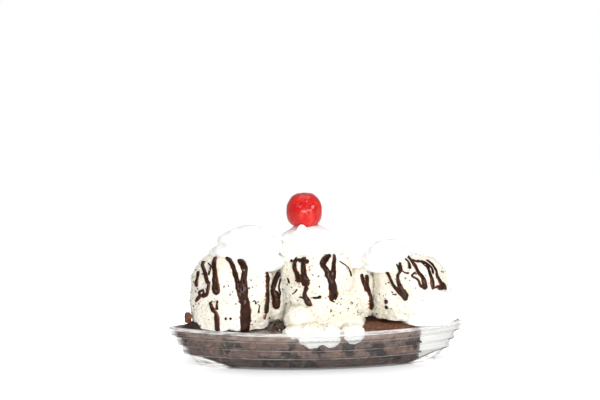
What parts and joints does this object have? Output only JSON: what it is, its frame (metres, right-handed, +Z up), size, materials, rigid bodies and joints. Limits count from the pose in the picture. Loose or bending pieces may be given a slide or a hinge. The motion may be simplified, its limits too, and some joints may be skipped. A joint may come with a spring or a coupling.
{
  "type": "brownie sundae",
  "caption": "Ice cream sundae with brownie, chocolate sauce, whipped cream and a cherry, served in a clear boat-shaped dish.",
  "frame": {"origin": "middle of the dish's foot, on the surface it stands on", "axes": "+Z up, +X along the dish to the end that the whipped cream spills over, -Y to the front"},
  "size_m": [0.21, 0.081, 0.1203],
  "materials": {
    "clear_plastic": "clear, glossy, thin moulded plastic with ribs",
    "chocolate_sauce": "thick glossy dark chocolate sauce",
    "brownie": "matt, crumbly, moist dark brown cake",
    "ice_cream": "torn, slightly icy pale cream with dark flecks",
    "whipped_cream": "soft matt white cream",
    "cherry": "glossy syrup-wet red skin"
  },
  "bodies": {
    "root": {"dish": "clear_plastic", "fudge_sauce": "chocolate_sauce", "brownie_left": "brownie", "brownie_middle": "brownie", "brownie_right": "brownie", "brownie_nugget": "brownie", "scoop_left": "ice_cream", "scoop_centre": "ice_cream", "scoop_centre_lower": "ice_cream", "scoop_right": "ice_cream", "cream_left": "whipped_cream", "cream_centre": "whipped_cream", "cream_right": "whipped_cream", "cream_end": "whipped_cream", "cherry": "cherry"}
  },
  "joints": []
}
